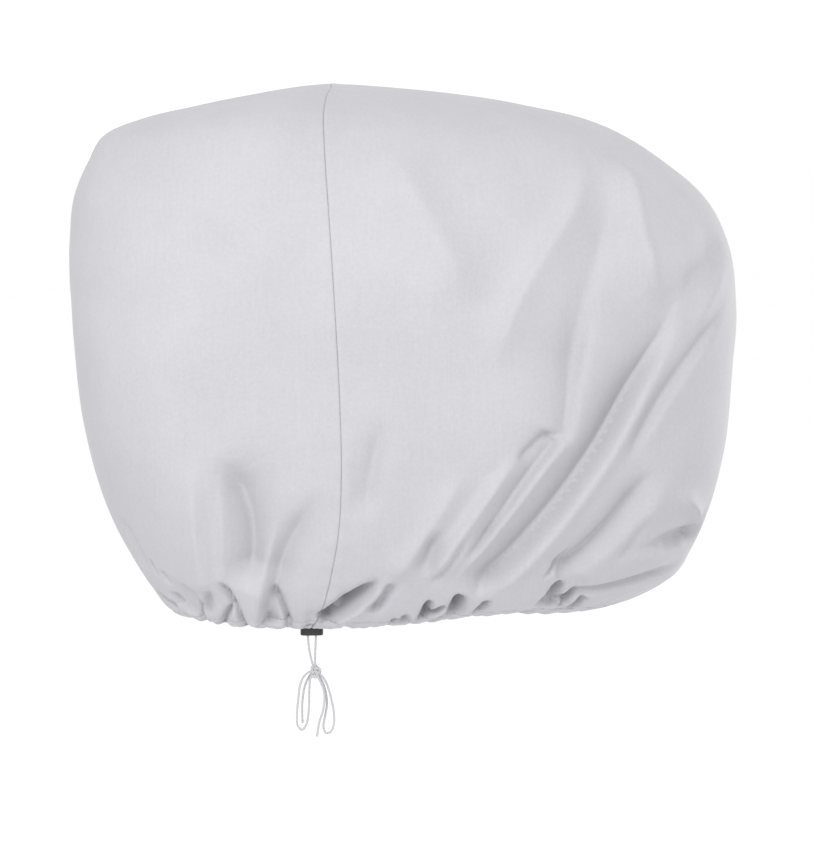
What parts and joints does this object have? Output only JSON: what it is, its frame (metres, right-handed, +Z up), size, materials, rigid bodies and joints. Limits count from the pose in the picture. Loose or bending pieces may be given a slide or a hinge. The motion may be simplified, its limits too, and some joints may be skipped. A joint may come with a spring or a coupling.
{
  "type": "outboard motor cover",
  "caption": "Seamed cloth cover for an outboard motor's cowling, rounded and hollow, gathered at its hem by a drawcord with a cord lock and a hanging bow.",
  "frame": {"origin": "the crown of the cover, on the inside of the cloth, where it rests on top of the cowling", "axes": "+X to the front of the motor, the boat side, +Z up, -Y to the side seen in the picture, where the bow hangs"},
  "size_m": [0.733, 0.4867, 0.7002],
  "materials": {
    "cloth": "plain-weave coated polyester with a soft sheen, pale lavender grey",
    "lock": "black moulded plastic, satin",
    "cord": "white braided polyester cord"
  },
  "bodies": {
    "root": {"rear_panel": "cloth", "front_panel": "cloth", "cord_lock": "lock", "drawcord": "cord"}
  },
  "joints": []
}
